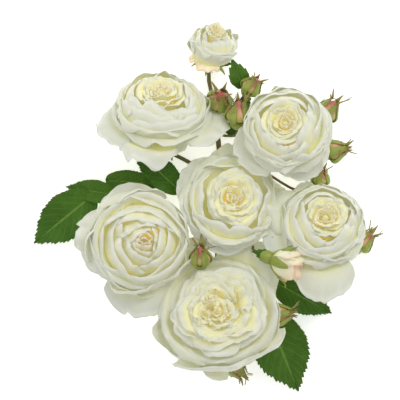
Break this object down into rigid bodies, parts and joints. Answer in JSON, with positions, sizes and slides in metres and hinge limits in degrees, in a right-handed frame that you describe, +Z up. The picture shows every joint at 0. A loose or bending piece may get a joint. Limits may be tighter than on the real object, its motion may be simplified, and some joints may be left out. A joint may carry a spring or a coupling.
{
  "type": "cut rose spray",
  "caption": "Cut spray of cream garden roses, open blooms, buds and serrated leaves on one branched stem, laid down with the blooms facing up.",
  "frame": {"origin": "under the middle of the spray's bounding box, on the surface that it lies on", "axes": "+Z up, the way the blooms face; +Y from the lowest leaf towards the small top bloom, the spray's longest extent; +X to the right of the spray as seen from above"},
  "size_m": [0.2194, 0.234, 0.0591],
  "materials": {
    "guard_petals": "soft matte petal, cream white with a yellow-green base",
    "inner_petals": "soft matte petal, cream with golden shade and peach edges at the heart",
    "calyx": "matte green",
    "closed_bud": "matte green sepals with a pink-red petal tip",
    "leaf": "satin dark green with lighter veins and a serrated edge",
    "stem": "olive-brown young bark"
  },
  "bodies": {
    "root": {"bottom_bud": "closed_bud", "bottom_leaf": "leaf", "far_right_bud": "closed_bud", "half_open_bud_calyx": "calyx", "half_open_bud_petals": "guard_petals", "left_bloom_calyx": "calyx", "left_bloom_guard_petal_1": "guard_petals", "left_bloom_guard_petal_2": "guard_petals", "left_bloom_guard_petal_3": "guard_petals", "left_bloom_guard_petal_4": "guard_petals", "left_bloom_inner_petals": "inner_petals", "left_end_leaflet": "leaf", "left_side_leaflet_1": "leaf", "left_side_leaflet_2": "leaf", "lower_bloom_calyx": "calyx", "lower_bloom_guard_petal_1": "guard_petals", "lower_bloom_guard_petal_2": "guard_petals", "lower_bloom_guard_petal_3": "guard_petals", "lower_bloom_guard_petal_4": "guard_petals", "lower_bloom_inner_petals": "inner_petals", "lower_right_bud": "closed_bud", "lower_right_leaflet": "leaf", "middle_bloom_calyx": "calyx", "middle_bloom_guard_petal_1": "guard_petals", "middle_bloom_guard_petal_2": "guard_petals", "middle_bloom_guard_petal_3": "guard_petals", "middle_bloom_inner_petals": "inner_petals", "middle_bud": "closed_bud", "right_bloom_calyx": "calyx", "right_bloom_guard_petal_1": "guard_petals", "right_bloom_guard_petal_2": "guard_petals", "right_bloom_guard_petal_3": "guard_petals", "right_bloom_guard_petal_4": "guard_petals", "right_bloom_inner_petals": "inner_petals", "right_bud_1": "closed_bud", "right_bud_2": "closed_bud", "right_bud_3": "closed_bud", "stem": "stem", "top_bloom_calyx": "calyx", "top_bloom_guard_petal_1": "guard_petals", "top_bloom_guard_petal_2": "guard_petals", "top_bloom_inner_petals": "inner_petals", "top_bud_1": "closed_bud", "top_bud_2": "closed_bud", "top_bud_3": "closed_bud", "top_leaflet": "leaf", "upper_left_bloom_calyx": "calyx", "upper_left_bloom_guard_petal_1": "guard_petals", "upper_left_bloom_guard_petal_2": "guard_petals", "upper_left_bloom_guard_petal_3": "guard_petals", "upper_left_bloom_guard_petal_4": "guard_petals", "upper_left_bloom_inner_petals": "inner_petals", "upper_left_leaflet": "leaf", "upper_right_bloom_calyx": "calyx", "upper_right_bloom_guard_petal_1": "guard_petals", "upper_right_bloom_guard_petal_2": "guard_petals", "upper_right_bloom_guard_petal_3": "guard_petals", "upper_right_bloom_guard_petal_4": "guard_petals", "upper_right_bloom_inner_petals": "inner_petals"}
  },
  "joints": []
}
